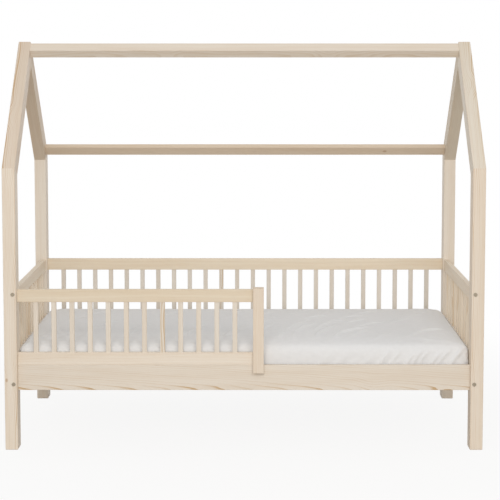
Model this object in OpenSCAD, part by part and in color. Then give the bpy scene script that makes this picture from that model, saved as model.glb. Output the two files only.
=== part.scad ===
// Toddler bed with a house-shaped frame of pine: two gables of posts and mitred rafters, tied together
// by a ridge beam, a wall-side purlin, boards and guard rails, with a slatted base and a mattress.
// X runs along the bed, Y from the entry side to the wall side and Z up. The origin lies on the floor
// under the centre of the bed.

/* [Mattress] */
// Length of the mattress that the frame takes
mattress_l = 1600; // [1400:10:2000]
// Width of the mattress that the frame takes
mattress_w = 800; // [700:10:900]
// Thickness of the mattress
mattress_t = 120; // [80:5:160]
// Room between the mattress and the frame at each end
mattress_end_play = 8; // [5:1:25]
// Room between the mattress and the frame along each side
mattress_side_play = 5; // [2:1:12]
// Radius of the mattress's corners, seen from above
mattress_corner_r = 40; // [40:1:80]
// Radius of the mattress's top and bottom edges
mattress_edge_r = 20; // [8:1:20]

/* [Gables] */
// Width of a post, along the bed
post_w = 45; // [40:1:60]
// Depth of a post, across the bed, and of a rafter
post_d = 66; // [60:1:90]
// Height of the outer corner where a post meets its rafter
eave_h = 1000; // [850:10:1200]
// Slope of the roof
roof_angle = 45; // [40:1:50]
// Radius of the eased edges of posts, rafters and square bars
post_arris = 2; // [1:0.5:4]
// Bevel round the foot of a post
foot_bevel = 2; // [1:0.5:4]

/* [Roof beams] */
// Side of the square bar that the ridge beam and the guard's end post are cut from
square_bar = 38; // [36:1:44]
// Height from the ridge beam's top edge up to the peak of the gables
ridge_drop = 5.5; // [3:0.5:12]
// Distance up the slope from the corner of the eave to the purlin
purlin_up = 30; // [25:1:120]

/* [Boards and rails] */
// Thickness of the boards, the rails and the purlin
board_t = 18; // [16:1:22]
// Height of the side boards and end boards
board_h = 90; // [80:1:130]
// Height of the room under the boards
board_z = 210; // [150:5:300]
// Height of the guard rails, and width of the purlin
rail_h = 45; // [40:1:60]
// Height of the top of the guards above the floor
rail_top = 570; // [520:5:700]
// Step from the inner face of a post out to the end panel
end_inset = 4; // [2:1:8]
// Radius of the eased edges of boards and rails
board_arris = 1.5; // [0.5:0.5:3]

/* [Guard slats] */
// Spacing that the guard slats come nearest to
slat_spacing = 64; // [50:1:80]
// Width of a guard slat
slat_w = 17; // [15:1:24]
// Thickness of a guard slat
slat_t = 14; // [12:1:15]
// Radius of a guard slat's eased edges
slat_arris = 1.5; // [0.5:0.5:3]
// Width of the tenon on each end of a slat
tenon_w = 12; // [10:0.5:13]
// Thickness of the tenon
tenon_t = 8; // [6:0.5:9]
// Length of the tenon
tenon_l = 12; // [8:1:15]
// Number of slats in the short guard on the entry side
guard_slats = 12; // [8:1:16]
// Rise of the guard's end post above its top rail
guard_post_rise = 6; // [2:1:15]
// Distance that the guard's end post laps down over the side board
guard_lap = 26; // [20:1:40]

/* [Slatted base] */
// Number of base slats
base_slats_n = 13; // [11:1:15]
// Width of a base slat
base_slat_w = 70; // [50:1:80]
// Thickness of a base slat
base_slat_t = 16; // [14:1:20]
// Room between a base slat's end and the side board
base_slat_play = 3; // [1:0.5:5]
// Room between the first base slat and the end of the ledge
base_end_room = 12; // [5:1:25]
// Height of the ledge that carries the base slats
ledge_h = 28; // [24:1:40]
// Thickness of the ledge
ledge_t = 22; // [20:1:28]
// Height of the ledge above the lower edge of the side board
ledge_up = 2; // [1:1:10]
// Width of the woven tapes that space the base slats
tape_w = 25; // [15:1:40]
// Thickness of the tapes
tape_t = 1.2; // [0.8:0.1:2]
// Distance of each tape from the centre line of the bed
tape_y = 300; // [200:5:320]

/* [Fasteners] */
// Diameter of the frame bolts
bolt_d = 6; // [5:0.5:8]
// Diameter of a bolt's head
bolt_head_d = 13; // [11:0.5:14]
// Thickness of a bolt's head
bolt_head_h = 3.5; // [2.5:0.5:4]
// Depth of the recess that the bolt's head lies in
head_recess = 5; // [4.5:0.5:8]
// Width of the hexagon socket in the bolt's head, across its flats
hex_key = 4; // [3:0.5:5]
// Distance that a bolt reaches into the rail or board
bolt_reach = 40; // [38:1:50]
// Diameter of the barrel nuts
nut_d = 10; // [9:0.5:12]
// Length of the barrel nuts
nut_l = 14; // [11:1:15]
// Distance from the end of a rail or board to its barrel nut
nut_in = 30; // [24:1:31]
// Diameter of the dowels
dowel_d = 8; // [6:0.5:9]
// Length of the dowels
dowel_l = 40; // [30:1:42]
// Diameter of the wood screws
screw_d = 4; // [3:0.5:5]
// Length of the wood screws
screw_l = 35; // [28:1:36]
// Diameter of a wood screw's head
screw_head_d = 8; // [7:0.5:9]
// Number of screws in each ledge
ledge_screws = 6; // [4:1:9]

/* [Hidden] */
pine = "#DFD2C0";
steel = "#8C8A85";
beech = "#D8BC94";

// Clearances
drill_play = 0.2;     // added to the diameter of a dowel, nut or screw for its hole
bolt_play = 1;        // added to the diameter of a bolt for its hole
head_play = 1.5;      // added to the diameter of a bolt's head for its recess
tenon_play = 0.1;     // all round a tenon in its mortise
hole_end = 1;         // room past the end of a tenon, dowel or screw
soft_gap = 0.3;       // between the mattress and the slats that it lies on
ledge_gap = 0.5;      // between a ledge and the post at its end

// Places worked out from the sizes
x_in = mattress_l / 2;                       // inner face of a post
bed_l = mattress_l + 2 * post_w;
bed_w = mattress_w + post_d + board_t;       // boards lie in the middle of the posts' depth
y_post = bed_w / 2;                          // outer face of a post
y_post_in = y_post - post_d;
y_board = y_post - post_d / 2;               // middle of the side boards and guards
y_in = mattress_w / 2;                       // inner face of a side board
x_panel = x_in + end_inset + board_t / 2;    // middle of an end panel
board_top = board_z + board_h;
low_rail_top = board_top + rail_h;
rail_under = rail_top - rail_h;
slat_l = rail_under - low_rail_top;          // a guard slat between its tenons

mitre = roof_angle / 2;
apex_h = eave_h + y_post * tan(roof_angle);
apex_in_h = apex_h - post_d / cos(roof_angle);
ridge_h = apex_h - ridge_drop - square_bar / sqrt(2);
purlin_mid = purlin_up + rail_h / 2;         // up the slope, to the middle of the purlin

long_slats = round(mattress_l / slat_spacing) - 1;
long_pitch = mattress_l / (long_slats + 1);
end_span = 2 * y_post_in;
end_slats = round(end_span / slat_spacing) - 1;
end_pitch = end_span / (end_slats + 1);
guard_l = (guard_slats + 1) * long_pitch;
guard_x = guard_l - x_in;                    // near face of the guard's end post

ledge_l = mattress_l - 2 * ledge_gap;
ledge_z = board_z + ledge_up;
base_z = ledge_z + ledge_h;
base_top = base_z + base_slat_t;
base_run = ledge_l - 2 * base_end_room - base_slat_w;
base_x = [for (i = [0 : base_slats_n - 1]) (i / (base_slats_n - 1) - 0.5) * base_run];

// Heights of the fixings
dowel_edge = 11;                             // from a dowel, or a guard rail's bolt, to the nearest edge
end_bolt_edge = 25;                          // from an end board's bolt and dowel to its edges
end_rail_bolt_down = 15;                     // from the top of an end rail down to its bolt
board_bolt_z = board_z + board_h / 2;
rail_bolt_z = rail_under + dowel_edge;
end_bolt_z = [board_z + end_bolt_edge, rail_top - end_rail_bolt_down];
mitre_dowel_step = post_d / 4;               // from the middle of an eave mitre to each dowel
apex_dowel_up = [16, 40];                    // above the inner corner of the peak
ridge_dowel_step = 12;
purlin_dowel_step = 13;
guard_screw_step = 9;

cut = 1;                                     // how far a cutting shape runs past a face
fine = 48;

// n places spread evenly over a length, about its middle
function spread(length, n) = [for (i = [0 : n - 1]) ((i + 0.5) / n - 0.5) * length];

// ---- Bars ----

// Rectangle with eased corners, its low corner at the origin
module bar_profile(a, b, arris) {
    translate([arris, 0]) square([a - 2 * arris, b]);
    translate([0, arris]) square([a, b - 2 * arris]);
    for (x = [arris, a - arris], y = [arris, b - arris]) translate([x, y]) circle(r = arris, $fn = 32);
}

module bar_x(size, arris) rotate([90, 0, 90]) linear_extrude(size.x) bar_profile(size.y, size.z, arris);

module bar_y(size, arris)
    translate([0, size.y, 0]) rotate([90, 0, 0]) linear_extrude(size.y) bar_profile(size.x, size.z, arris);

module bar_z(size, arris) linear_extrude(size.z) bar_profile(size.x, size.y, arris);

// ---- Symmetry: pieces are drawn for the left end or the entry side ----

module to_right() mirror([1, 0, 0]) children();
module to_back() mirror([0, 1, 0]) children();
module both_ends() for (m = [0, 1]) mirror([m, 0, 0]) children();
module both_sides() for (m = [0, 1]) mirror([0, m, 0]) children();
module four_corners() both_ends() both_sides() children();

// Frame of the entry-side slope: the origin at the corner of the eave, Y up the slope, Z out of the roof
module on_slope() translate([0, -y_post, eave_h]) rotate([roof_angle, 0, 0]) children();

// ---- Frame bolts, with their barrel nuts ----
// A bolt lies along +Z, from the outer face of a post at z = 0. A barrel nut lies along Y.

function bolt_l(thick) = 5 * round((thick - head_recess + bolt_reach) / 5);

module bolt(thick) difference() {
    union() {
        translate([0, 0, head_recess - bolt_head_h]) cylinder(d = bolt_head_d, h = bolt_head_h, $fn = fine);
        translate([0, 0, head_recess]) cylinder(d = bolt_d, h = bolt_l(thick), $fn = fine);
    }
    translate([0, 0, head_recess - bolt_head_h - cut])
        cylinder(d = hex_key / cos(30), h = bolt_head_h - 1 + cut, $fn = 6);
}

module barrel_nut(thick) translate([0, 0, thick + nut_in]) difference() {
    rotate([90, 0, 0]) cylinder(d = nut_d, h = nut_l, center = true, $fn = fine);
    cylinder(d = bolt_d + drill_play, h = nut_d + 2 * cut, center = true, $fn = fine);
}

// Everything drilled for one bolt: its recess, its hole and the barrel nut's cross hole
module bolt_holes(thick) {
    translate([0, 0, -cut]) cylinder(d = bolt_head_d + head_play, h = head_recess + cut, $fn = fine);
    cylinder(d = bolt_d + bolt_play, h = thick + bolt_reach + 6, $fn = fine);
    translate([0, -nut_l / 2 - hole_end, thick + nut_in]) rotate([-90, 0, 0])
        cylinder(d = nut_d + drill_play, h = nut_l / 2 + hole_end + square_bar / 2 + cut, $fn = fine);
}

// Bolts along X at one end: y, z, and the turn about X that the nut's hole opens to
side_bolts = [
    [-y_board, board_bolt_z, 0],
    [y_board, board_bolt_z, 0],
    [y_board, rail_bolt_z, 0],
    [0, ridge_h, -45],
    [y_post - purlin_mid * cos(roof_angle) - post_d / 2 * sin(roof_angle),
     eave_h + purlin_mid * sin(roof_angle) - post_d / 2 * cos(roof_angle), 90 - roof_angle]
];
guard_bolt = [-y_board, rail_bolt_z, 0];

module side_bolt_at(b)
    translate([-bed_l / 2, b[0], b[1]]) rotate([b[2], 0, 0]) rotate([0, 90, 0]) children();

module at_side_bolts() {
    for (b = side_bolts) both_ends() side_bolt_at(b) children();
    side_bolt_at(guard_bolt) children();
}

module at_end_bolts() four_corners() for (z = end_bolt_z)
    translate([-x_panel, -y_post, z]) rotate([-90, 0, 0]) rotate([0, 0, 90]) children();

// ---- Dowels: each place is a point on the joint and the turn of the dowel ----

corner_dowels = concat(
    [for (s = [-1, 1]) let (along = post_d / 2 / cos(mitre) + s * mitre_dowel_step)
        [[-x_in - post_w / 2, along * cos(mitre) - y_post, eave_h - along * sin(mitre)], [-mitre, 0, 0]]],
    [for (z = [board_z + dowel_edge, board_top - dowel_edge]) [[-x_in, -y_board, z], [0, 90, 0]]],
    [for (z = [board_top - end_bolt_edge, rail_under + dowel_edge]) [[-x_panel, -y_post_in, z], [90, 0, 0]]]
);
end_dowels = concat(
    [for (up = apex_dowel_up) [[-x_in - post_w / 2, 0, apex_in_h + up], [90, 0, 0]]],
    [for (s = [-1, 1]) [[-x_in, s * ridge_dowel_step, ridge_h], [0, 90, 0]]],
    [for (y = spread(end_span, 2)) [[-x_panel, y, board_top], [0, 0, 0]]]
);
guard_dowels = concat(
    [for (x = spread(guard_l, 3)) [[guard_x - guard_l / 2 + x, -y_board, board_top], [0, 0, 0]]],
    [for (z = [board_top, rail_under]) [[guard_x, -y_board, z + rail_h / 2], [0, 90, 0]]],
    [for (x = spread(mattress_l, 4)) [[x, y_board, board_top], [0, 0, 0]]]
);

module at_places(places) for (p = places) translate(p[0]) rotate(p[1]) children();

module at_dowels() {
    four_corners() at_places(corner_dowels) children();
    both_ends() at_places(end_dowels) children();
    at_places(guard_dowels) children();
    both_ends() to_back() on_slope() translate([-x_in, purlin_mid + purlin_dowel_step, -post_d / 2])
        rotate([0, 90, 0]) children();
}

module dowel() cylinder(d = dowel_d, h = dowel_l, center = true, $fn = fine);
module dowel_hole() cylinder(d = dowel_d + drill_play, h = dowel_l + 2 * hole_end, center = true, $fn = fine);

// ---- Countersunk wood screws, along +Z from the face that the head is flush with ----

module screw() {
    cylinder(d1 = screw_head_d, d2 = screw_d, h = (screw_head_d - screw_d) / 2, $fn = fine);
    cylinder(d = screw_d, h = screw_l - screw_d, $fn = fine);
    translate([0, 0, screw_l - screw_d]) cylinder(d1 = screw_d, d2 = 1, h = screw_d, $fn = fine);
}

module screw_hole() {
    sink_d = screw_head_d + drill_play;
    translate([0, 0, -cut]) cylinder(d = sink_d, h = cut, $fn = fine);
    cylinder(d1 = sink_d, d2 = screw_d + drill_play, h = (screw_head_d - screw_d) / 2, $fn = fine);
    cylinder(d = screw_d + drill_play, h = screw_l + hole_end, $fn = fine);
}

module at_screws() {
    both_sides() {
        for (x = spread(ledge_l, ledge_screws))
            translate([x, ledge_t - y_in, ledge_z + ledge_h / 2]) rotate([90, 0, 0]) children();
        for (x = [base_x[0], base_x[base_slats_n - 1]])
            translate([x, ledge_t / 2 - y_in, base_top]) rotate([180, 0, 0]) children();
    }
    for (s = [-1, 1])
        translate([guard_x + square_bar / 2 + s * guard_screw_step, -y_in, board_top - guard_lap / 2])
            rotate([90, 0, 0]) children();
}

// A pine piece of the frame, with every hole that is drilled for the fixings
module frame_piece() color(pine) difference() {
    children();
    at_side_bolts() bolt_holes(post_w);
    at_end_bolts() bolt_holes(post_d);
    at_dowels() dowel_hole();
    at_screws() screw_hole();
}

// ---- Gables ----

// A shape in the plane of the left gable, given the gable's thickness
module in_gable() translate([-bed_l / 2 - cut, 0, 0]) rotate([90, 0, 90])
    linear_extrude(post_w + 2 * cut) children();

// Ends of the mitre cut at the eave, run past the post on both sides
mitre_out = [-y_post - post_d, eave_h + post_d * tan(mitre)];
mitre_in = [-y_post + 2 * post_d, eave_h - 2 * post_d * tan(mitre)];

// Front left post
module post() difference() {
    intersection() {
        translate([-bed_l / 2, -y_post, 0]) bar_z([post_w, post_d, eave_h], post_arris);
        in_gable() polygon([mitre_out, mitre_in, [mitre_in.x, -cut], [mitre_out.x, -cut]]);
    }
    bevel = foot_bevel * sqrt(2);
    for (x = [-bed_l / 2, -x_in]) translate([x, -y_board, 0]) rotate([0, 45, 0])
        cube([bevel, post_d + 2 * cut, bevel], center = true);
    for (y = [-y_post, -y_post_in]) translate([-x_in - post_w / 2, y, 0]) rotate([45, 0, 0])
        cube([post_w + 2 * cut, bevel, bevel], center = true);
}

// Front left rafter, mitred to its post at the eave and to its twin at the peak
module rafter() intersection() {
    on_slope() translate([-bed_l / 2, -post_d, -post_d])
        bar_y([post_w, y_post / cos(roof_angle) + 3 * post_d, post_d], post_arris);
    in_gable() polygon([mitre_out, mitre_in, [0, mitre_in.y], [0, apex_h + cut], [mitre_out.x, apex_h + cut]]);
}

module front_left_post() frame_piece() post();
module front_right_post() frame_piece() to_right() post();
module back_left_post() frame_piece() to_back() post();
module back_right_post() frame_piece() to_right() to_back() post();

module front_left_rafter() frame_piece() rafter();
module front_right_rafter() frame_piece() to_right() rafter();
module back_left_rafter() frame_piece() to_back() rafter();
module back_right_rafter() frame_piece() to_right() to_back() rafter();

// ---- Roof beams ----

// Square bar on edge under the peak, held by a bolt through the joint of each pair of rafters
module ridge_beam() frame_piece() translate([-x_in, 0, ridge_h]) rotate([45, 0, 0])
    translate([0, -square_bar / 2, -square_bar / 2]) bar_x([mattress_l, square_bar, square_bar], post_arris);

// Flat bar in the wall-side slope, in the middle of the rafters' depth
module back_eave_purlin() frame_piece() to_back() on_slope()
    translate([-x_in, purlin_up, -(post_d + board_t) / 2]) bar_x([mattress_l, rail_h, board_t], board_arris);

// ---- Boards, and the slats' mortises ----

// Board or rail along the entry side, from the left posts
module long_rail(length, z, height)
    translate([-x_in, -y_board - board_t / 2, z]) bar_x([length, board_t, height], board_arris);

// Board or rail of the left end panel
module end_rail(z, height)
    translate([-x_panel - board_t / 2, -y_post_in, z]) bar_y([board_t, end_span, height], board_arris);

module at_long_slats(n) for (i = [1 : n]) translate([i * long_pitch - x_in, -y_board, 0]) children();

module at_end_slats() for (i = [1 : end_slats])
    translate([-x_panel, i * end_pitch - y_post_in, 0]) rotate([0, 0, 90]) children();

module tenon_profile(play) {
    step = (tenon_w - tenon_t) / 2;
    square([2 * step, tenon_t + 2 * play], center = true);
    for (x = [-step, step]) translate([x, 0]) circle(d = tenon_t + 2 * play, $fn = 32);
}

// Guard slat standing on the lower rail, with a round-edged tenon at each end
module slat() translate([0, 0, low_rail_top]) {
    translate([-slat_w / 2, -slat_t / 2, 0]) bar_z([slat_w, slat_t, slat_l], slat_arris);
    translate([0, 0, -tenon_l]) linear_extrude(slat_l + 2 * tenon_l) tenon_profile(0);
}

// The mortises below and above one slat
module mortises() translate([0, 0, low_rail_top - tenon_l - hole_end])
    linear_extrude(slat_l + 2 * (tenon_l + hole_end)) tenon_profile(tenon_play);

module long_guard_rail(length, slats, z) difference() {
    long_rail(length, z, rail_h);
    at_long_slats(slats) mortises();
}

module end_guard_rail(z) difference() {
    end_rail(z, rail_h);
    at_end_slats() mortises();
}

module front_side_board() frame_piece() long_rail(mattress_l, board_z, board_h);
module back_side_board() frame_piece() to_back() long_rail(mattress_l, board_z, board_h);
module left_end_board() frame_piece() end_rail(board_z, board_h);
module right_end_board() frame_piece() to_right() end_rail(board_z, board_h);

// ---- Short guard on the entry side ----

module front_guard_top_rail() frame_piece() long_guard_rail(guard_l, guard_slats, rail_under);
module front_guard_bottom_rail() frame_piece() long_guard_rail(guard_l, guard_slats, board_top);
module front_guard_slats() color(pine) at_long_slats(guard_slats) slat();

// Square post notched over the side board, which it is screwed to from behind
module front_guard_end_post() frame_piece() difference() {
    foot_z = board_top - guard_lap;
    translate([guard_x, -y_in - square_bar, foot_z])
        bar_z([square_bar, square_bar, rail_top + guard_post_rise - foot_z], post_arris);
    translate([guard_x - cut, -y_in - board_t, foot_z - cut])
        cube([square_bar + 2 * cut, board_t + cut, guard_lap + cut]);
}

// ---- Full guards on the wall side and at both ends ----

module back_guard_top_rail() frame_piece() to_back() long_guard_rail(mattress_l, long_slats, rail_under);
module back_guard_bottom_rail() frame_piece() to_back() long_guard_rail(mattress_l, long_slats, board_top);
module back_guard_slats() color(pine) to_back() at_long_slats(long_slats) slat();

module left_end_top_rail() frame_piece() end_guard_rail(rail_under);
module left_end_bottom_rail() frame_piece() end_guard_rail(board_top);
module left_end_slats() color(pine) at_end_slats() slat();

module right_end_top_rail() frame_piece() to_right() end_guard_rail(rail_under);
module right_end_bottom_rail() frame_piece() to_right() end_guard_rail(board_top);
module right_end_slats() color(pine) to_right() at_end_slats() slat();

// ---- Slatted base ----

module slat_ledge() translate([-ledge_l / 2, -y_in, ledge_z]) bar_x([ledge_l, ledge_t, ledge_h], board_arris);

module front_slat_ledge() color(pine) difference() {
    slat_ledge();
    at_screws() screw_hole();
}

module back_slat_ledge() color(pine) difference() {
    to_back() slat_ledge();
    at_screws() screw_hole();
}

// Loose slats across the bed, of which the first and the last are screwed to the ledges
module base_slats() color(pine) difference() {
    slat_run = 2 * (y_in - base_slat_play);
    for (x = base_x) translate([x - base_slat_w / 2, -slat_run / 2, base_z])
        bar_y([base_slat_w, slat_run, base_slat_t], board_arris);
    at_screws() screw_hole();
}

// Woven tapes stapled under the base slats
module slat_tapes() color("#E9E6DF") both_sides()
    translate([-(base_run + base_slat_w) / 2, tape_y - tape_w / 2, base_z - tape_t])
        cube([base_run + base_slat_w, tape_w, tape_t]);

// ---- Mattress ----

module mattress() color("#ECEBEA") hull() {
    x = x_in - mattress_end_play - mattress_corner_r;
    y = y_in - mattress_side_play - mattress_corner_r;
    low = base_top + soft_gap + mattress_edge_r;
    for (px = [-x, x], py = [-y, y], pz = [low, low + mattress_t - 2 * mattress_edge_r])
        translate([px, py, pz]) rotate_extrude($fn = 32)
            translate([mattress_corner_r - mattress_edge_r, 0]) circle(r = mattress_edge_r, $fn = 24);
}

// ---- Fixings ----

module short_bolts() color(steel) at_side_bolts() bolt(post_w);
module long_bolts() color(steel) at_end_bolts() bolt(post_d);
module barrel_nuts() color(steel) {
    at_side_bolts() barrel_nut(post_w);
    at_end_bolts() barrel_nut(post_d);
}
module dowels() color(beech) at_dowels() dowel();
module wood_screws() color(steel) at_screws() screw();

front_left_post();
front_right_post();
back_left_post();
back_right_post();
front_left_rafter();
front_right_rafter();
back_left_rafter();
back_right_rafter();
ridge_beam();
back_eave_purlin();
front_side_board();
back_side_board();
left_end_board();
right_end_board();
front_guard_top_rail();
front_guard_bottom_rail();
front_guard_slats();
front_guard_end_post();
back_guard_top_rail();
back_guard_bottom_rail();
back_guard_slats();
left_end_top_rail();
left_end_bottom_rail();
left_end_slats();
right_end_top_rail();
right_end_bottom_rail();
right_end_slats();
front_slat_ledge();
back_slat_ledge();
base_slats();
slat_tapes();
mattress();
short_bolts();
long_bolts();
barrel_nuts();
dowels();
wood_screws();
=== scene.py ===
"""Toddler bed with a house-shaped frame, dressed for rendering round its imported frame. Metres, Z up."""
import math
import random

import bmesh
import bpy
import numpy as np
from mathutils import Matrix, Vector


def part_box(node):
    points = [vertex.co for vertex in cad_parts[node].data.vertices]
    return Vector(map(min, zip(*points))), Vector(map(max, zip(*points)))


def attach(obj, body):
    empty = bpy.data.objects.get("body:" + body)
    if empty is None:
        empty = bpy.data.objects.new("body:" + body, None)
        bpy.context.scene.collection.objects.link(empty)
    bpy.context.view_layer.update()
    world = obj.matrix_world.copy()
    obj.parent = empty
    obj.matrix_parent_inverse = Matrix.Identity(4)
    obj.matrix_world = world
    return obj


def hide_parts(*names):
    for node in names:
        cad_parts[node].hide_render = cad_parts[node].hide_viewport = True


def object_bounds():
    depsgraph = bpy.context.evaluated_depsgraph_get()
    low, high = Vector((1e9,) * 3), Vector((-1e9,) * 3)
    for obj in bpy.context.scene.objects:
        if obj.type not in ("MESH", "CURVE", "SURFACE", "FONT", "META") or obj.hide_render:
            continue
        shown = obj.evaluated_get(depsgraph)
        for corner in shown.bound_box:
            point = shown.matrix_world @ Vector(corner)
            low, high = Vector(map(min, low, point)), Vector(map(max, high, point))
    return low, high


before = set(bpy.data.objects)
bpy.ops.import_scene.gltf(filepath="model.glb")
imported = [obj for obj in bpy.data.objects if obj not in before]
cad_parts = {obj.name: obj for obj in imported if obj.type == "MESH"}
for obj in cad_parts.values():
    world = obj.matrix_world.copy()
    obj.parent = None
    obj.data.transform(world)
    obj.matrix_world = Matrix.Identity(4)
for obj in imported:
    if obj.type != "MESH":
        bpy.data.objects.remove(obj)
cad_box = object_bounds()

# ---- Camera ----
# It stands in front of the long entry side, at the height of the ridge and a little right of the middle,
# and looks slightly down with a long lens.

camera = bpy.data.objects.new("camera", bpy.data.cameras.new("camera"))
bpy.context.scene.collection.objects.link(camera)
bpy.context.scene.camera = camera
camera.location = (0.029, -5.849, 1.409)
PITCH, YAW = 5.12, 0.08          # degrees that it looks down, and to the left
camera.rotation_euler = (math.radians(90 - PITCH), 0, math.radians(YAW))
camera.data.lens = 112
camera.data.shift_y = -0.12
camera.data.clip_end = 60

# ---- Gables ----
# Four posts and four rafters of solid pine, planed, with eased edges, and mitred where they meet.
# Pine is pale, with darker late wood in each year's ring. A thin white-pigmented matt varnish evens it out.

MM = 1000        # millimetres in a metre


def linear(hex_colour):
    """An sRGB hex colour as the linear colour that a shader takes."""
    channels = [int(hex_colour[i:i + 2], 16) / 255 for i in (1, 3, 5)]
    return [c / 12.92 if c < 0.04045 else ((c + 0.055) / 1.055) ** 2.4 for c in channels] + [1]


def add(tree, kind, inputs=None, **settings):
    """Adds a node with its settings. An input, by name or number, takes a value or another node's output."""
    node = tree.nodes.new(kind)
    for key, value in settings.items():
        setattr(node, key, value)
    for key, value in (inputs or {}).items():
        if isinstance(value, bpy.types.NodeSocket):
            tree.links.new(value, node.inputs[key])
        else:
            node.inputs[key].default_value = value
    return node


def solid_pine():
    """Wood as it grows, in millimetres with the grain along X: rings round a pith, fibres and knots."""
    early, late, knot = linear("#E6DBCC"), linear("#C6A67C"), linear("#A98259")
    wander_length, knot_stretch = 650, 120       # over how long the trunk wanders, and a knot may turn up
    late_wood, knot_reach = 3.1, 50              # width of a ring's dark wood, and how far a knot bends rings
    # Length, width and thickness of a patch of uneven growth, of a band of denser wood and of a fibre
    uneven_patch, dense_band, fibre_size = (260, 30, 30), (420, 26, 26), (60, 1.6, 1.6)
    tree = bpy.data.node_groups.new("solid_pine", "ShaderNodeTree")
    # How the wood lies in the piece, its growth, a knot, how far a face cuts across the grain, and its tone
    for name, kind in (("Place", "Vector"), ("Pith", "Vector"), ("Tilt", "Float"), ("Taper", "Float"),
                       ("Wander", "Float"), ("Ring", "Float"), ("Seed", "Float"), ("Knot", "Vector"),
                       ("Knot radius", "Float"), ("End", "Float"), ("Tint", "Color")):
        tree.interface.new_socket(name, in_out="INPUT", socket_type="NodeSocket" + kind)
    tree.interface.new_socket("Color", in_out="OUTPUT", socket_type="NodeSocketColor")
    tree.interface.new_socket("Height", in_out="OUTPUT", socket_type="NodeSocketFloat")
    given = add(tree, "NodeGroupInput").outputs
    place, seed = given["Place"], given["Seed"]

    # The trunk wanders and leans along its length
    along = add(tree, "ShaderNodeSeparateXYZ", {0: place}).outputs["X"]
    year = add(tree, "ShaderNodeMath", {0: along, 1: 1 / wander_length, 2: seed}, operation="MULTIPLY_ADD")
    wander = add(tree, "ShaderNodeTexNoise", {"W": year.outputs[0], "Scale": 1, "Detail": 1.5},
                 noise_dimensions="1D")
    wander = add(tree, "ShaderNodeVectorMath", {0: wander.outputs["Color"], 1: (0.5, 0.5, 0.5)},
                 operation="SUBTRACT")
    sway = add(tree, "ShaderNodeCombineXYZ", {"Y": given["Wander"], "Z": given["Wander"]})
    wander = add(tree, "ShaderNodeVectorMath", {0: wander.outputs[0], 1: sway.outputs[0], 2: place},
                 operation="MULTIPLY_ADD")
    lean = add(tree, "ShaderNodeMath", {0: along, 1: given["Tilt"]}, operation="MULTIPLY")
    lean = add(tree, "ShaderNodeCombineXYZ", {"Z": lean.outputs[0]})
    across = add(tree, "ShaderNodeVectorMath", {0: wander.outputs[0], 1: given["Pith"]}, operation="SUBTRACT")
    across = add(tree, "ShaderNodeVectorMath", {0: across.outputs[0], 1: lean.outputs[0]}, operation="ADD")
    across = add(tree, "ShaderNodeVectorMath", {0: across.outputs[0], 1: (0, 1, 1)}, operation="MULTIPLY")
    radius = add(tree, "ShaderNodeVectorMath", {0: across.outputs[0]}, operation="LENGTH").outputs["Value"]

    # It tapers, so the rings slant to the face, and growth is uneven
    radius = add(tree, "ShaderNodeMath", {0: along, 1: given["Taper"], 2: radius}, operation="MULTIPLY_ADD")
    shift = add(tree, "ShaderNodeCombineXYZ", {"X": seed, "Y": seed})
    uneven = add(tree, "ShaderNodeVectorMath", {0: place, 1: [1 / size for size in uneven_patch],
                                                2: shift.outputs[0]}, operation="MULTIPLY_ADD")
    uneven = add(tree, "ShaderNodeTexNoise", {"Vector": uneven.outputs[0], "Scale": 1, "Detail": 2})
    radius = add(tree, "ShaderNodeMath", {0: uneven.outputs[0], 1: 5, 2: radius.outputs[0]},
                 operation="MULTIPLY_ADD")

    # Knots are branches that run through the wood, and the rings bulge round them. Besides the one that is
    # given, each stretch may have one.
    spot = add(tree, "ShaderNodeVectorMath", {0: place, 1: [ratio / knot_stretch for ratio in (0.6, 1, 0.1)],
                                              2: shift.outputs[0]}, operation="MULTIPLY_ADD")
    branch = add(tree, "ShaderNodeTexVoronoi", {"Vector": spot.outputs[0], "Scale": 1})
    away = add(tree, "ShaderNodeMath", {0: branch.outputs["Distance"], 1: knot_stretch}, operation="MULTIPLY")
    chance = add(tree, "ShaderNodeSeparateXYZ", {0: branch.outputs["Color"]}).outputs["X"]
    size = add(tree, "ShaderNodeMapRange", {0: chance, 1: 0.72, 2: 1, 4: 10})
    own = add(tree, "ShaderNodeVectorMath", {0: place, 1: given["Knot"]}, operation="SUBTRACT")
    own = add(tree, "ShaderNodeVectorMath", {0: own.outputs[0], 1: (0.6, 1, 0.3)}, operation="MULTIPLY")
    own = add(tree, "ShaderNodeVectorMath", {0: own.outputs[0]}, operation="LENGTH")
    masks = []
    for distance, width in ((away.outputs[0], size.outputs[0]), (own.outputs["Value"], given["Knot radius"])):
        core = add(tree, "ShaderNodeMath", {0: width, 1: 0.6}, operation="MULTIPLY")
        masks.append(add(tree, "ShaderNodeMapRange", {0: distance, 1: width, 2: core.outputs[0]}).outputs[0])
        grown = add(tree, "ShaderNodeMath", {0: width, 1: 0.5}, operation="GREATER_THAN")
        bulge = add(tree, "ShaderNodeMapRange", {0: distance, 1: 0, 2: knot_reach, 3: 11, 4: 0},
                    interpolation_type="SMOOTHSTEP")
        radius = add(tree, "ShaderNodeMath", {0: bulge.outputs[0], 1: grown.outputs[0], 2: radius.outputs[0]},
                     operation="MULTIPLY_ADD")
    knotty = add(tree, "ShaderNodeMath", {0: masks[0], 1: masks[1]}, operation="MAXIMUM")

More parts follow.
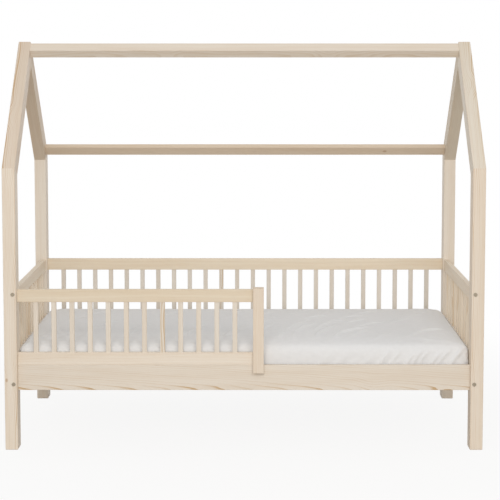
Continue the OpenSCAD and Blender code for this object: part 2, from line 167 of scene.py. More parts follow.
    # Early wood darkens to late wood over the last millimetres of each ring and breaks off at its edge
    rings = add(tree, "ShaderNodeMath", {0: radius.outputs[0], 1: given["Ring"]}, operation="DIVIDE")
    inside = add(tree, "ShaderNodeMath", {0: radius.outputs[0], 1: given["Ring"], 2: 0.0}, operation="WRAP")
    inside = add(tree, "ShaderNodeMath", {0: inside.outputs[0], 1: given["Ring"]}, operation="SUBTRACT")
    part = add(tree, "ShaderNodeMapRange", {0: inside.outputs[0], 1: -late_wood, 2: 0.0})
    profile = add(tree, "ShaderNodeValToRGB", {0: part.outputs[0]})
    stops = profile.color_ramp.elements
    for across_ring, dark in ((0.45, 0.1), (0.84, 1)):
        stops.new(across_ring).color = (dark, dark, dark, 1)
    count = add(tree, "ShaderNodeMath", {0: rings.outputs[0]}, operation="FLOOR")
    count = add(tree, "ShaderNodeMath", {0: count.outputs[0], 1: seed}, operation="ADD")
    strength = add(tree, "ShaderNodeTexWhiteNoise", {"W": count.outputs[0]}, noise_dimensions="1D")
    strength = add(tree, "ShaderNodeMapRange", {0: strength.outputs["Value"], 3: 0.15, 4: 0.6})
    grain = add(tree, "ShaderNodeMath", {0: profile.outputs[0], 1: strength.outputs[0]}, operation="MULTIPLY")

    # They show boldly as flames where the face runs along them, and faintly where it cuts across them
    facing = add(tree, "ShaderNodeVectorMath", {0: across.outputs[0]}, operation="NORMALIZE")
    facing = add(tree, "ShaderNodeSeparateXYZ", {0: facing.outputs[0]})
    facing = add(tree, "ShaderNodeMath", {0: facing.outputs["Z"]}, operation="ABSOLUTE")
    flames = add(tree, "ShaderNodeMapRange", {0: facing.outputs[0], 1: 0.82, 2: 0.98, 3: 0.6, 4: 2.1},
                 interpolation_type="SMOOTHSTEP")
    grain = add(tree, "ShaderNodeMath", {0: grain.outputs[0], 1: flames.outputs[0]}, operation="MULTIPLY")

    # Fibres, drawn coarser than the real 0.03 mm so that they show, and broad bands of denser wood
    fibre = add(tree, "ShaderNodeVectorMath", {0: place, 1: [1 / size for size in fibre_size]},
                operation="MULTIPLY")
    fibre = add(tree, "ShaderNodeTexNoise", {"Vector": fibre.outputs[0], "Scale": 1, "Detail": 3,
                                             "Roughness": 0.6})
    streak = add(tree, "ShaderNodeMapRange", {0: fibre.outputs[0], 1: 0.3, 2: 0.7, 3: -0.06, 4: 0.08})
    broad = add(tree, "ShaderNodeVectorMath", {0: place, 1: [1 / size for size in dense_band],
                                               2: shift.outputs[0]}, operation="MULTIPLY_ADD")
    broad = add(tree, "ShaderNodeTexNoise", {"Vector": broad.outputs[0], "Scale": 1, "Detail": 2})
    broad = add(tree, "ShaderNodeMapRange", {0: broad.outputs[0], 1: 0.35, 2: 0.65, 3: -0.04, 4: 0.11})
    grain = add(tree, "ShaderNodeMath", {0: grain.outputs[0], 1: streak.outputs[0]}, operation="ADD")
    grain = add(tree, "ShaderNodeMath", {0: grain.outputs[0], 1: broad.outputs[0]}, operation="ADD")
    grain = add(tree, "ShaderNodeMath", {0: given["End"], 1: 0.35, 2: grain.outputs[0]},
                operation="MULTIPLY_ADD", use_clamp=True)
    wood = add(tree, "ShaderNodeMix", {0: grain.outputs[0], 6: early, 7: late}, data_type="RGBA")
    faded = add(tree, "ShaderNodeMath", {0: knotty.outputs[0], 1: 0.6}, operation="MULTIPLY")
    wood = add(tree, "ShaderNodeMix", {0: faded.outputs[0], 6: wood.outputs[2], 7: knot}, data_type="RGBA")
    wood = add(tree, "ShaderNodeMix", {0: 1.0, 6: wood.outputs[2], 7: given["Tint"]}, data_type="RGBA",
               blend_type="MULTIPLY")
    height = add(tree, "ShaderNodeMath", {0: fibre.outputs[0], 1: grain.outputs[0]}, operation="SUBTRACT")
    add(tree, "NodeGroupOutput", {"Color": wood.outputs[2], "Height": height.outputs[0]})
    return tree


PINE = solid_pine()


def new_material(name):
    """A material with its node tree and its Principled shader."""
    material = bpy.data.materials.new(name)
    material.use_nodes = True
    return material, material.node_tree, material.node_tree.nodes["Principled BSDF"]


NO_KNOT, PLAIN_TONES = (0, 0, 0, 0), (0.94, 1.0)


def pine(name, seed, run, face, pith=(40, -60), tilt=0.01, taper=0.0, wander=26, ring=3.1, tint="#FFFFFF",
         knot=NO_KNOT, first=None, pitch=None, tones=PLAIN_TONES, wood_name="pine"):
    """Varnished wood for one node. run is the grain's direction and face the broad face's.

    pith, and a knot's place and radius, are in millimetres along run, face x run and face, from the middle.
    tilt and taper are the slopes of the pith and of the trunk's side, wander is how far the pith strays, and
    ring is the width of a year's ring. Where a node holds a row of pieces, first is the middle of its first
    piece, pitch the step to the next and tones the range of their tones. wood_name is the kind of wood.
    """
    low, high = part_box(name)
    run, face = Vector(run).normalized(), Vector(face).normalized()
    side = face.cross(run)
    material, tree, shader = new_material(wood_name + "_" + name)
    texture = add(tree, "ShaderNodeTexCoord")
    middle = add(tree, "ShaderNodeVectorMath", {0: texture.outputs["Object"], 1: (low + high) / 2},
                 operation="SUBTRACT")
    ways = [add(tree, "ShaderNodeVectorMath", {0: middle.outputs[0], 1: way * MM}, operation="DOT_PRODUCT")
            for way in (run, side, face)]
    place = add(tree, "ShaderNodeCombineXYZ", {i: way.outputs["Value"] for i, way in enumerate(ways)})
    if first:
        # Each piece of the row is cut from another stretch of wood, up to log_size away in the same log
        log_size = (2500, 90, 60)
        row = add(tree, "ShaderNodeVectorMath", {0: texture.outputs["Object"], 1: first},
                  operation="SUBTRACT")
        row = add(tree, "ShaderNodeVectorMath", {0: row.outputs[0], 1: pitch / pitch.length_squared},
                  operation="DOT_PRODUCT")
        row = add(tree, "ShaderNodeMath", {0: row.outputs["Value"], 1: 0.5 + 40 * seed}, operation="ADD")
        row = add(tree, "ShaderNodeMath", {0: row.outputs[0]}, operation="FLOOR")
        pick = add(tree, "ShaderNodeTexWhiteNoise", {"W": row.outputs[0]}, noise_dimensions="1D")
        place = add(tree, "ShaderNodeVectorMath", {0: pick.outputs["Color"], 1: log_size,
                                                   2: place.outputs[0]}, operation="MULTIPLY_ADD")
    end = add(tree, "ShaderNodeVectorMath", {0: texture.outputs["Normal"], 1: run}, operation="DOT_PRODUCT")
    end = add(tree, "ShaderNodeMath", {0: end.outputs["Value"]}, operation="ABSOLUTE")
    end = add(tree, "ShaderNodeMapRange", {0: end.outputs[0], 1: 0.75, 2: 0.95})
    wood = add(tree, "ShaderNodeGroup", node_tree=PINE)
    for key, value in (("Pith", (0, *pith)), ("Tilt", tilt), ("Taper", taper), ("Wander", wander),
                       ("Ring", ring), ("Seed", seed * 7.31), ("Knot", knot[:3]), ("Knot radius", knot[3]),
                       ("Tint", linear(tint))):
        wood.inputs[key].default_value = value
    tree.links.new(place.outputs[0], wood.inputs["Place"])
    tree.links.new(end.outputs[0], wood.inputs["End"])
    if first:
        tone = add(tree, "ShaderNodeMapRange", {0: pick.outputs["Value"], 3: tones[0], 4: tones[1]})
        toned = add(tree, "ShaderNodeMix", {0: 1.0, 6: linear(tint), 7: tone.outputs[0]}, data_type="RGBA",
                    blend_type="MULTIPLY")
        tree.links.new(toned.outputs[2], wood.inputs["Tint"])
    # The varnish is thin, so the grain can still be felt under its dull, even shine
    bump = add(tree, "ShaderNodeBump", {"Height": wood.outputs["Height"], "Strength": 0.35,
                                        "Distance": 0.0002})
    tree.links.new(wood.outputs["Color"], shader.inputs["Base Color"])
    tree.links.new(bump.outputs[0], shader.inputs["Normal"])
    shader.inputs["Roughness"].default_value = 0.52
    shader.inputs["IOR"].default_value = 1.5
    return material


def dress(name, material):
    """Gives a CAD node its finish."""
    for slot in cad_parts[name].material_slots:
        slot.material = material


UP, ALONG, ACROSS = Vector((0, 0, 1)), Vector((1, 0, 0)), Vector((0, 1, 0))
KNOTS = {            # place and radius of the knots that show in the gables
    "front_left_post": (-250, 15, 30, 5), "back_right_post": (120, 5, 30, 5),
    "front_right_rafter": (100, -12, 30, 6), "front_left_rafter": (-60, 14, 30, 6),
    "back_right_rafter": (60, 5, -30, 6),
}
TINTS = {            # each piece's own tint, darker or paler than plain pine; the back rafters' darker tints are also painted shade, for the shade under the roof
    "front_right_post": "#FCFAF8", "front_left_rafter": "#F5F0EC", "front_right_rafter": "#F9FAF9",
    "back_left_rafter": "#EBE4DC", "back_right_rafter": "#EEECE6",
}

for pair, (side, y) in enumerate((("front", -1), ("back", 1))):
    for end, x in (("left", -1), ("right", 1)):
        number = 2 * pair + (x > 0) + 1
        post, rafter = f"{side}_{end}_post", f"{side}_{end}_rafter"
        dress(post, pine(post, number, UP, (0, y, 0), pith=(60 * x, -50), tilt=0.012,
                         tint=TINTS.get(post, "#FFFFFF"), knot=KNOTS.get(post, NO_KNOT)))
        dress(rafter, pine(rafter, number + 4, (0, -y, 1), (0, y, 1), pith=(-36 * x, -40), tilt=0.03,
                           tint=TINTS[rafter], knot=KNOTS.get(rafter, NO_KNOT)))

# ---- Roof beams ----
# The ridge beam is a square bar set on edge under the peak, and the purlin a flat bar that lies in the
# slope of the roof on the wall side. Both are planed pine, bolted through the gables into their ends.

dress("ridge_beam", pine("ridge_beam", 11, ALONG, (0, -1, 1), pith=(75, -20), tilt=0.006))
# The purlin's tint darkens it a little: its own tone, and also painted shade for the shade under the roof
# slope
dress("back_eave_purlin", pine("back_eave_purlin", 12, ALONG, (0, -1, -1), pith=(70, -25), tilt=0.006,
                               tint="#F6EFE6", knot=(560, 0, 9, 6)))

# ---- Boards ----
# Four boards of planed pine stand on edge and tie the posts together. The long boards are cut near the
# middle of the log, so flames of late wood run along their lower edges.

dress("front_side_board", pine("front_side_board", 21, ALONG, -ACROSS, pith=(-49, -29), tilt=0, taper=0.055,
                               wander=8, ring=6.2, tint="#F7F7F7"))
dress("back_side_board", pine("back_side_board", 22, ALONG, ACROSS, pith=(-50, -45), tilt=0.03))
dress("left_end_board", pine("left_end_board", 23, ACROSS, -ALONG, pith=(-40, -40), tilt=0.03))
dress("right_end_board", pine("right_end_board", 24, ACROSS, ALONG, pith=(38, -40), tilt=0.03))

# ---- Guards ----
# Rails of the boards' thickness, with slim slats between them that are mortised into both rails.
# Each slat is cut from another stick, so they differ a little in tone.

SLAT = 0.017         # width of a guard slat
GUARDS = {           # grain of the rails, outward face, number of slats, tints of the top rail and the slats
    "front_guard": (ALONG, -ACROSS, 12, "#F8F5EC", "#FBFDFF"),
    "back_guard": (ALONG, ACROSS, 24, "#FCF8EE", "#F6FAFF"),
    "left_end": (ACROSS, -ALONG, 11, "#FFFCF6", "#FFFCF6"),
    "right_end": (ACROSS, ALONG, 11, "#FFFCF6", "#FFFCF6"),
}
END_SLAT_PAINTED_LIGHT_TONES = (1.0, 1.08)     # the end guards' slats are painted up to 8 % paler than their wood: painted light that lifts the shade between the close slats

for number, (guard, (run, out, count, rail_tint, slat_tint)) in enumerate(GUARDS.items()):
    for seed, rail, tint in ((31, "top_rail", rail_tint), (41, "bottom_rail", "#FFFFFF")):
        name = f"{guard}_{rail}"
        dress(name, pine(name, seed + number, run, out, pith=(70 - 9 * number, -30), tilt=0.008, tint=tint))
    name = guard + "_slats"
    low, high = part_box(name)
    middle = (low + high) / 2
    length = (high - low).dot(run) - SLAT
    first = middle - run * length / 2
    # The end guards' slats take tones above 1, painted light for the shade between them
    dress(name, pine(name, 51 + number, UP, out, pith=(-50, -10), tilt=0.006, tint=slat_tint, first=first,
                     pitch=run * length / (count - 1), tones=END_SLAT_PAINTED_LIGHT_TONES if run == ACROSS else PLAIN_TONES))

dress("front_guard_end_post", pine("front_guard_end_post", 61, UP, -ACROSS, pith=(70, -15), tilt=0.008,
                                   tint="#FAF7F4"))

# ---- Slatted base ----
# A ledge along each side board carries thirteen evenly spaced slats of sawn and planed pine. The first and
# the last are screwed down, and the others lie loose under the mattress.

BASE_SLATS, BASE_SLAT = 13, 0.07     # how many there are, and their width
for number, name in enumerate(("front_slat_ledge", "back_slat_ledge")):
    dress(name, pine(name, 71 + number, ALONG, UP, pith=(10, -30)))
low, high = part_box("base_slats")
first_slat = Vector((low.x + BASE_SLAT / 2, 0, high.z))
slat_pitch = Vector(((high.x - low.x - BASE_SLAT) / (BASE_SLATS - 1), 0, 0))
dress("base_slats", pine("base_slats", 73, ACROSS, UP, pith=(5, -30), tilt=0.02, first=first_slat,
                         pitch=slat_pitch))

# ---- Mattress ----
# A block of foam in a woven ticking, under a white cotton fitted sheet. The sheet is cut a little larger
# than the block, so it wrinkles over the top and folds at the corners, and its hem is tucked underneath.

mattress_low, mattress_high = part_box("mattress")
CORNER, EDGE = 0.021, 0.034      # how far the block's corners and edges are rounded, across and in height
CROWN, RIM = 0.019, 0.12         # how far its top falls to the edges, and how wide the rim is where it falls
LONGER, NARROWER = 0.0075, 0.006     # what it gains at each end and loses at each side to sit in the frame
SEAT = 0.001                     # how far it is lifted to leave the sheet room on the slats


def box_grid(low, high, step, keep=lambda centre: True):
    """A box of even squares. keep says, from a square's middle, which squares stay."""
    mesh = bmesh.new()
    size = high - low
    for flat in range(3):
        a, b = [axis for axis in range(3) if axis != flat]
        count_a, count_b = max(1, round(size[a] / step)), max(1, round(size[b] / step))
        for level in (low[flat], high[flat]):
            points = []
            for i in range(count_a + 1):
                for j in range(count_b + 1):
                    point = Vector()
                    point[flat], point[a] = level, low[a] + size[a] * i / count_a
                    point[b] = low[b] + size[b] * j / count_b
                    points.append(mesh.verts.new(point))
            for i in range(count_a):
                for j in range(count_b):
                    k = i * (count_b + 1) + j
                    corners = [points[k], points[k + count_b + 1], points[k + count_b + 2], points[k + 1]]
                    if keep(sum((v.co for v in corners), Vector()) / 4):
                        mesh.faces.new(corners)
    bmesh.ops.delete(mesh, geom=[v for v in mesh.verts if not v.link_faces], context="VERTS")
    bmesh.ops.remove_doubles(mesh, verts=mesh.verts, dist=step / 20)
    bmesh.ops.recalc_face_normals(mesh, faces=mesh.faces)
    return mesh


def round_off(mesh, low, high):
    """Gives a box the block's rounded corners and edges, and its top that falls towards them."""
    middle, radii = (low + high) / 2, Vector((CORNER, CORNER, EDGE))
    inner = (high - low) / 2 - radii
    for vert in mesh.verts:
        from_middle = vert.co - middle
        clamped = Vector([max(-inner[i], min(inner[i], from_middle[i])) for i in range(3)])
        rest = Vector([(from_middle[i] - clamped[i]) / radii[i] for i in range(3)])
        if rest.length > 0:
            vert.co = middle + clamped + rest.normalized() * radii
        inset = min(min(high[i] - vert.co[i], vert.co[i] - low[i]) for i in (0, 1))
        rise = (vert.co.z - low.z) / (high.z - low.z)
        vert.co.z -= CROWN * max(0, 1 - inset / RIM) ** 2 * rise


def piece(name, mesh, *materials):
    """An object from a bmesh, smooth shaded."""
    data = bpy.data.meshes.new(name)
    mesh.to_mesh(data)
    mesh.free()
    data.polygons.foreach_set("use_smooth", [True] * len(data.polygons))
    for material in materials:
        data.materials.append(material)
    made = bpy.data.objects.new(name, data)
    bpy.context.scene.collection.objects.link(made)
    return made


def woven(name, colour, thread, rough, strength=0.3):
    """Plain-woven cloth. thread is the spacing of its threads in millimetres."""
    material, tree, shader = new_material(name)
    texture = add(tree, "ShaderNodeTexCoord")
    place = add(tree, "ShaderNodeVectorMath", {0: texture.outputs["Object"], 1: [MM / thread * math.pi] * 3},
                operation="MULTIPLY")
    waves = add(tree, "ShaderNodeVectorMath", {0: place.outputs[0]}, operation="SINE")
    weave = add(tree, "ShaderNodeSeparateXYZ", {0: waves.outputs[0]})
    height = add(tree, "ShaderNodeMath", {0: weave.outputs["X"], 1: weave.outputs["Y"]}, operation="MULTIPLY")
    height = add(tree, "ShaderNodeMath", {0: height.outputs[0], 1: weave.outputs["Z"]}, operation="ADD")
    slub = add(tree, "ShaderNodeTexNoise", {"Vector": texture.outputs["Object"], "Scale": 60.0,
                                            "Detail": 4.0})
    tone = add(tree, "ShaderNodeMapRange", {0: slub.outputs[0], 1: 0.3, 2: 0.7, 3: 0.97, 4: 1.0})
    base = add(tree, "ShaderNodeMix", {0: 1.0, 6: linear(colour), 7: tone.outputs[0]}, data_type="RGBA",
               blend_type="MULTIPLY")
    bump = add(tree, "ShaderNodeBump", {"Height": height.outputs[0], "Strength": strength,
                                        "Distance": 0.0001})
    tree.links.new(base.outputs[2], shader.inputs["Base Color"])
    tree.links.new(bump.outputs[0], shader.inputs["Normal"])
    shader.inputs["Roughness"].default_value = rough
    shader.inputs["Sheen Weight"].default_value = 0.1
    return material


# Foam block in its ticking, a dense matt weave whose threads are drawn coarser than the real 0.4 mm
block_low = mattress_low + Vector((-LONGER, NARROWER, SEAT))
block_high = mattress_high + Vector((LONGER, -NARROWER, SEAT))
mesh = box_grid(block_low, block_high, 0.03)
bmesh.ops.subdivide_edges(mesh, edges=mesh.edges, cuts=1, use_grid_fill=True)
round_off(mesh, block_low, block_high)
block = piece("foam_mattress", mesh, woven("ticking", "#E9E7E2", 1.2, 0.85))
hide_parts("mattress")
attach(block, "mattress")

# Fitted sheet of cotton percale, smooth and matt, with its threads drawn coarser than the real 0.25 mm
LOOSE, LOOSE_UNDER = 0.0015, 0.0012      # how far it stands off the block, and off its underside
UNDER, PRESSED = 0.09, 0.0012            # how far it reaches under the block, and presses the foam in
sheet_low = block_low - Vector((LOOSE, LOOSE, LOOSE_UNDER))
sheet_high = block_high + Vector((LOOSE, LOOSE, LOOSE))


def on_sheet(centre):
    """True but in the middle of the underside, which the sheet leaves bare."""
    if centre.z > sheet_low.z + 0.001:
        return True
    return not all(sheet_low[i] + UNDER < centre[i] < sheet_high[i] - UNDER for i in (0, 1))


mesh = box_grid(sheet_low, sheet_high, 0.012, on_sheet)
round_off(mesh, sheet_low, sheet_high)
sheet = piece("fitted_sheet", mesh, woven("cotton_percale", "#E3E2E1", 0.9, 0.8))


def apply_all(thing):
    """Applies the modifiers of a piece."""
    graph = bpy.context.evaluated_depsgraph_get()
    finished = bpy.data.meshes.new_from_object(thing.evaluated_get(graph))
    thing.modifiers.clear()
    thing.data = finished


def settle(cloth, over, frames):
    """Lets cloth wrinkle over another piece by simulation, and applies the result."""
    hem_top = sheet_low.z + 0.006
    bumper = over.modifiers.new("collision", "COLLISION")
    over.collision.thickness_outer = LOOSE
    over.collision.cloth_friction = 12
    pinned = cloth.vertex_groups.new(name="tucked")
    pinned.add([v.index for v in cloth.data.vertices if v.co.z < hem_top], 1.0, "ADD")
    fabric = cloth.modifiers.new("cloth", "CLOTH")
    fabric.settings.vertex_group_mass = "tucked"
    fabric.settings.quality = 6
    fabric.settings.mass = 0.25
    fabric.settings.tension_stiffness = fabric.settings.compression_stiffness = 18
    fabric.settings.shear_stiffness = 6
    fabric.settings.bending_stiffness = 0.4
    fabric.settings.shrink_min = -0.012
    fabric.collision_settings.distance_min = LOOSE
    fabric.collision_settings.use_self_collision = False
    for number in range(1, frames + 1):
        bpy.context.scene.frame_set(number)
    apply_all(cloth)
    over.modifiers.remove(bumper)
    bpy.context.scene.frame_set(1)


def crease(places, points, height, width):
    """How far one soft fold along a line of points lifts each place. It fades out at both ends."""
    points = [np.array(point) for point in points]
    steps = [np.linalg.norm(b - a) for a, b in zip(points, points[1:])]
    lift = np.zeros(len(places))
    low, high = np.min(points, axis=0) - 3 * width, np.max(points, axis=0) + 3 * width
    close = np.all((places > low) & (places < high), axis=1)
    near = places[close]
    nearest, at = np.full(len(near), 1.0), np.zeros(len(near))
    for i, (a, b) in enumerate(zip(points, points[1:])):
        t = np.clip((near - a) @ (b - a) / steps[i] ** 2, 0, 1)
        gap = np.linalg.norm(near - a - t[:, None] * (b - a), axis=1)
        closer = gap < nearest
        nearest[closer], at[closer] = gap[closer], (sum(steps[:i]) + t[closer] * steps[i]) / sum(steps)
    lift[close] = height * np.sin(np.pi * at) ** 0.7 * np.exp(-(nearest / width) ** 2)
    return lift


# Folds that lean back across the top from the entry side: points along each, its height and width, all in mm
TOP_FOLDS = [
    ([(60, -210), (80, -100), (120, 0)], 5.0, 8),
    ([(72, -20), (90, 50), (112, 115)], 5.0, 9),
    ([(150, -165), (190, -70), (245, 55)], 7.0, 8),
    ([(175, -330), (190, -200), (222, -98), (275, -10)], 8.0, 9),
    ([(255, -165), (290, -75), (340, 20)], 6.5, 9),
    ([(250, -325), (270, -230), (308, -132), (350, -35)], 7.0, 9),
    ([(318, -325), (350, -225), (405, -149), (480, -100)], 8.5, 9),
    ([(375, -30), (420, 30), (475, 75)], 6.0, 8),
    ([(390, -290), (424, -210), (475, -135)], 6.5, 8),
    ([(600, -290), (636, -220), (682, -166), (775, -105)], 8.0, 10),
    ([(545, -40), (585, 30), (655, 90)], 3.5, 9),
    ([(470, -330), (500, -260), (545, -205)], 3.5, 8),
    ([(120, -330), (135, -250), (165, -180)], 5.5, 8),
    ([(215, 60), (260, 120), (330, 165)], 5.0, 8),
    ([(345, 60), (400, 120), (480, 160)], 5.0, 8),
    ([(60, 130), (90, 200), (150, 260)], 3.5, 9),
    ([(300, -60), (345, 20), (400, 70)], 5.0, 8),
    ([(420, -90), (470, -30), (540, 10)], 5.0, 8),
    ([(-210, -310), (-195, -190), (-150, -70)], 5.0, 9),
    ([(-75, -310), (-45, -200), (10, -100)], 5.0, 9),
    ([(-420, -270), (-400, -140), (-345, -50)], 4.5, 9),
    ([(-570, -140), (-520, -20), (-445, 70)], 4.5, 10),
    ([(-660, 80), (-600, 180), (-510, 270)], 5.0, 9),
    ([(-340, 110), (-290, 200), (-215, 280)], 4.5, 9),
    ([(-70, 120), (-20, 220), (55, 300)], 4.5, 9),
    ([(170, 160), (215, 240), (280, 310)], 4.5, 9),
    ([(410, 140), (470, 220), (550, 280)], 5.0, 9),
    ([(600, 50), (650, 150), (730, 240)], 5.0, 9),
]
# Folds down the entry side that pull towards its right corner: low and high end, height and width, all in mm
SIDE_FOLDS = [
    ((476, 290), (526, 352), 3.5, 7), ((516, 290), (562, 350), 3.5, 7), ((564, 284), (626, 354), 4.5, 7),
    ((590, 286), (644, 358), 4.5, 7), ((618, 290), (660, 350), 3.5, 6), ((654, 286), (722, 358), 4.5, 7),
    ((680, 288), (744, 360), 4.5, 7), ((724, 282), (788, 364), 7.0, 8),
]


def hold_in(places):
    """Presses the sheet's sides flat where they would pass the boards round it or the corner posts."""
    room, clear = 0.003, 0.0008      # over how much it gives way, and what stays free in front of the wood
    by, over = 0.02, 0.016           # how far before a post it starts to give way, and over what length
    end_wall, side_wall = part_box("right_end_board")[0].x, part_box("back_side_board")[0].y
    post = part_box("back_right_post")[0]
    by_post = np.clip((np.abs(places[:, 1]) - post.y + by) / over, 0, 1)
    for axis, wall in ((0, end_wall + (post.x - end_wall) * by_post), (1, side_wall)):
        reach, free = np.abs(places[:, axis]), wall - clear - room
        pressed = free + room * np.tanh((reach - free) / room)
        places[:, axis] = np.sign(places[:, axis]) * np.where(reach > free, pressed, reach)


def fold_sheet(cloth):
    """Works soft folds into the sheet's mesh: across the top, down the sides, and a fan at each corner."""
    fan, fan_from, fan_step = 5, 14, 15      # folds in a corner's fan, and their angles in degrees
    end_folds, end_step = 4, 0.042           # folds down a short end near each corner, and their spacing
    draw = random.Random(4)
    places = np.empty(len(cloth.data.vertices) * 3)
    cloth.data.vertices.foreach_get("co", places)
    places = places.reshape(-1, 3)
    out = np.empty_like(places)
    cloth.data.vertex_normals.foreach_get("vector", out.ravel())
    middle, half = (sheet_low + sheet_high) / 2, (sheet_high - sheet_low) / 2
    top, front = sheet_high.z, sheet_low.y
    folds = []
    for points, height, width in TOP_FOLDS:
        folds.append(([(x / MM, y / MM, top) for x, y in points], height / MM, width / MM))
    for (x_low, z_low), (x_high, z_high), height, width in SIDE_FOLDS:
        x_mid, z_mid = (x_low + x_high) / 2 - 3, (z_low + z_high) / 2 + 3
        for x_way, y in ((1, front), (-1, front), (1, sheet_high.y), (-1, sheet_high.y)):
            # The other three corners have the same folds, bent a little otherwise
            if (x_way, y) != (1, front):
                x_mid += draw.uniform(-12, 12)
            bent = ((x_low, z_low), (x_mid, z_mid), (x_high, z_high))
            folds.append(([(x_way * x / MM, y, z / MM) for x, z in bent], height / MM, width / MM))
    for x in (-1, 1):
        for y in (-1, 1):
            tip = Vector((middle.x + x * half.x, middle.y + y * half.y, top))
            for i in range(fan):
                # Over the top, fanning in from the corner
                angle = math.radians(fan_from + fan_step * i + draw.uniform(-5, 5))
                run = Vector((-x * math.cos(angle), -y * math.sin(angle), 0))
                begin = tip + run * draw.uniform(0.05, 0.08)
                finish = begin + run * draw.uniform(0.08, 0.17)
                bend = (begin + finish) / 2 + Vector((run.y, -run.x, 0)) * 0.012 * x * y
                folds.append(([begin, bend, finish], draw.uniform(0.0015, 0.003), 0.011))
            for i in range(end_folds):
                # Down the short end
                reach = 0.05 + end_step * i + draw.uniform(-0.008, 0.008)
                high = Vector((tip.x, tip.y - y * reach, top - 0.03))
                low = Vector((tip.x, tip.y - y * (reach + 0.05), top - 0.085))
                height = draw.uniform(0.001, 0.0016) * (1 - 0.15 * i)
                folds.append(([low, (low + high) / 2, high], height, 0.009))
    lift = sum(crease(places, *fold) for fold in folds)
    places += out * lift[:, None]
    hold_in(places)
    cloth.data.vertices.foreach_set("co", places.ravel())
    cloth.data.update()


settle(sheet, block, 24)

# The stretched sheet presses the block in a little
for vert in block.data.vertices:
    vert.co -= vert.normal * PRESSED
finer = sheet.modifiers.new("finer", "SUBSURF")
finer.levels = 2
apply_all(sheet)
fold_sheet(sheet)
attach(sheet, "mattress")

# ---- Slat tapes ----
# Two tapes of woven polypropylene keep the slats at their spacing. Each is held under every slat by a
# wire staple, and is a little slack in between.

TAPE, TAPE_SAG = 0.025, 0.0025       # width of a tape, and how far it sags between slats
SAG_STEPS = 10                       # steps of its curve between two slats
tape_low, tape_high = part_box("slat_tapes")
tape_lines = (tape_low.y, tape_high.y - TAPE)


def sweep(mesh, rings):
    """Joins rings of four points each into one closed bar."""
    rings = [[mesh.verts.new(point) for point in ring] for ring in rings]
    for one, other in zip(rings, rings[1:]):
        for i in range(4):
            mesh.faces.new((one[i], one[i - 1], other[i - 1], other[i]))
    mesh.faces.new(rings[0])
    mesh.faces.new(rings[-1][::-1])


mesh = bmesh.new()
for y in tape_lines:
    rings = []
    for number in range(BASE_SLATS):
        slat = first_slat.x + slat_pitch.x * number
        stations = [(slat - BASE_SLAT / 2, 0.0), (slat + BASE_SLAT / 2, 0.0)]
        if number < BASE_SLATS - 1:
            for i in range(1, SAG_STEPS):
                stations.append((slat + BASE_SLAT / 2 + (slat_pitch.x - BASE_SLAT) * i / SAG_STEPS,
                                 math.sin(math.pi * i / SAG_STEPS) ** 2))
        for x, slack in stations:
            z = tape_low.z - TAPE_SAG * slack, tape_high.z - TAPE_SAG * slack
            rings.append([(x, y, z[0]), (x, y + TAPE, z[0]), (x, y + TAPE, z[1]), (x, y, z[1])])
    sweep(mesh, rings)
bmesh.ops.recalc_face_normals(mesh, faces=mesh.faces)
# Flat plastic threads, drawn at about their real 1.6 mm, a little glossier than cotton
tapes = piece("webbing_tapes", mesh, woven("polypropylene_webbing", "#E9E6DF", 1.6, 0.6, strength=0.6))
tapes.data.polygons.foreach_set("use_smooth", [False] * len(tapes.data.polygons))
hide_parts("slat_tapes")
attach(tapes, "frame")

# ---- Fixings ----
# Bolts with barrel nuts draw boards, rails and roof beams up to the posts and rafters. Turned beech dowels
# keep the joints in line. Screws hold the ledges, the outer base slats and the foot of the front guard's end
# post. All but the dowels are steel with a dull zinc plating, and so are the tapes' staples.


def zinc_steel():
    """Dull zinc plating: a grey metal with a faint cloudy finish."""
    material, tree, shader = new_material("zinc_plated_steel")
    texture = add(tree, "ShaderNodeTexCoord")
    cloud = add(tree, "ShaderNodeTexNoise", {"Vector": texture.outputs["Object"], "Scale": 900.0,
                                             "Detail": 3.0})
    colour = add(tree, "ShaderNodeMix", {0: cloud.outputs[0], 6: linear("#A79D8C"), 7: linear("#857A69")},
                 data_type="RGBA")
    rough = add(tree, "ShaderNodeMapRange", {0: cloud.outputs[0], 3: 0.38, 4: 0.55})
    tree.links.new(colour.outputs[2], shader.inputs["Base Color"])
    tree.links.new(rough.outputs[0], shader.inputs["Roughness"])
    shader.inputs["Metallic"].default_value = 1
    return material


steel = zinc_steel()
for name in ("short_bolts", "long_bolts", "barrel_nuts", "wood_screws"):
    dress(name, steel)
dress("dowels", pine("dowels", 81, UP, -ACROSS, tint="#EBD9BC", wood_name="beech"))

# Staples of flat wire: a crown across the grain of each slat's underside, with both legs driven in
STAPLE, WIRE_WIDE, WIRE_THICK, LEG = 0.010, 0.0012, 0.0006, 0.003
path = [(-STAPLE / 2, LEG), (-STAPLE / 2, 0.0), (STAPLE / 2, 0.0), (STAPLE / 2, LEG)]
outward = [(-1, 0), (-1, -1), (1, -1), (1, 0)]       # which way the wire is thick at each point of the path
mesh = bmesh.new()
for y in tape_lines:
    for number in range(BASE_SLATS):
        x, z = first_slat.x + slat_pitch.x * number, tape_low.z
        rings = []
        for (along, rise), (out_x, out_z) in zip(path, outward):
            ring = []
            for across, thick in ((-1, 0), (1, 0), (1, WIRE_THICK), (-1, WIRE_THICK)):
                ring.append((x + along + out_x * thick, y + TAPE / 2 + across * WIRE_WIDE / 2,
                             z + rise + out_z * thick))
            rings.append(ring)
        sweep(mesh, rings)
bmesh.ops.recalc_face_normals(mesh, faces=mesh.faces)
staples = piece("tape_staples", mesh, steel)
staples.data.polygons.foreach_set("use_smooth", [False] * len(staples.data.polygons))
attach(staples, "frame")

# ---- Studio ----
# A plain white floor that keeps the bed's shadow, an even white surround, soft lamps in front of the bed, and
# weaker ones behind it and beside it.


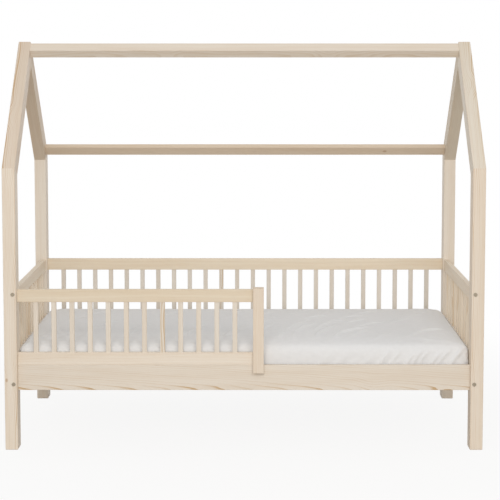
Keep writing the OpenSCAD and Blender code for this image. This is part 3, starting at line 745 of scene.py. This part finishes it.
def seen_directly(tree):
    """1 where the camera sees a thing, also in a reflection or through glass, and 0 where it only lights."""
    rays = add(tree, "ShaderNodeLightPath")
    seen = add(tree, "ShaderNodeMath", {0: rays.outputs["Is Camera Ray"], 1: rays.outputs["Is Glossy Ray"]},
               operation="MAXIMUM")
    return add(tree, "ShaderNodeMath", {0: seen.outputs[0], 1: rays.outputs["Is Transmission Ray"]},
               operation="MAXIMUM").outputs[0]


REACH, BELOW = 30, 0.0005        # how far the floor reaches, and how far it lies below the feet
NEAR_TONE, FAR_TONE = "#CFC8BE", "#A79F95"       # its tone in the light that it throws back, near and far
SHADOW_SHARE = 0.1               # how much of the shadow on it shows by the bed
floor_mesh = bpy.data.meshes.new("floor")
floor_mesh.from_pydata([(-REACH, -REACH, 0), (REACH, -REACH, 0), (REACH, REACH, 0), (-REACH, REACH, 0)], [],
                       [(0, 1, 2, 3)])
floor = bpy.data.objects.new("floor", floor_mesh)
floor.location.z = cad_box[0].z - BELOW
bpy.context.scene.collection.objects.link(floor)
# Matt white paint. Far from the bed it turns to plain white, where no shadow falls.
material, tree, shader = new_material("white_floor")
shader.inputs["Roughness"].default_value = 0.9
texture = add(tree, "ShaderNodeTexCoord")
away = add(tree, "ShaderNodeVectorMath", {0: texture.outputs["Object"]}, operation="LENGTH").outputs["Value"]
paler = add(tree, "ShaderNodeMapRange", {0: away, 1: 0.6, 2: 2.6, 3: 1 - SHADOW_SHARE, 4: 1.0},
            interpolation_type="SMOOTHSTEP")
bright = add(tree, "ShaderNodeMath", {0: seen_directly(tree), 1: paler.outputs[0]}, operation="MULTIPLY")
far = add(tree, "ShaderNodeMapRange", {0: away, 1: 0.7, 2: 1.8}, interpolation_type="SMOOTHSTEP")
base = add(tree, "ShaderNodeMix", {0: far.outputs[0], 6: linear(NEAR_TONE), 7: linear(FAR_TONE)},
           data_type="RGBA")
tree.links.new(base.outputs[2], shader.inputs["Base Color"])
white = add(tree, "ShaderNodeEmission", {"Strength": 1.0})
mixed = add(tree, "ShaderNodeMixShader", {0: bright.outputs[0], 1: shader.outputs[0], 2: white.outputs[0]})
tree.links.new(mixed.outputs[0], tree.nodes["Material Output"].inputs["Surface"])
floor_mesh.materials.append(material)

AROUND = 0.57                    # how strongly the surround lights the bed
world = bpy.data.worlds.new("studio")
world.use_nodes = True
bpy.context.scene.world = world
tree = world.node_tree
level = add(tree, "ShaderNodeMapRange", {0: seen_directly(tree), 3: AROUND, 4: 1.0})
tree.links.new(level.outputs[0], tree.nodes["Background"].inputs["Strength"])
tree.nodes["Background"].inputs["Color"].default_value = (1, 1, 1, 1)


def lamp(name, place, target, size, power):
    """A soft rectangular lamp that faces its target and isn't seen itself. power is in watts."""
    data = bpy.data.lights.new(name, "AREA")
    data.shape, data.size, data.size_y, data.energy = "RECTANGLE", size[0], size[1], power
    light = bpy.data.objects.new(name, data)
    light.location = place
    light.rotation_euler = (Vector(target) - Vector(place)).to_track_quat("-Z", "Y").to_euler()
    light.visible_camera = False
    bpy.context.scene.collection.objects.link(light)


lamp("front_lamp", (0.2, -5.2, 2.7), (0, 0, 0.6), (4.0, 3.0), 138)
lamp("low_lamp", (0.0, -5.6, 0.7), (0, 0, 0.2), (3.0, 0.8), 18)
lamp("back_lamp", (0.0, 5.4, 1.5), (0, 0, 0.6), (2.0, 2.0), 8)
lamp("left_lamp", (-2.3, 0.4, 1.2), (0, 0.1, 0.7), (1.2, 1.2), 4.5)
lamp("right_lamp", (2.3, 0.4, 1.2), (0, 0.1, 0.7), (1.2, 1.2), 4.5)

bpy.context.scene.view_settings.view_transform = "Standard"
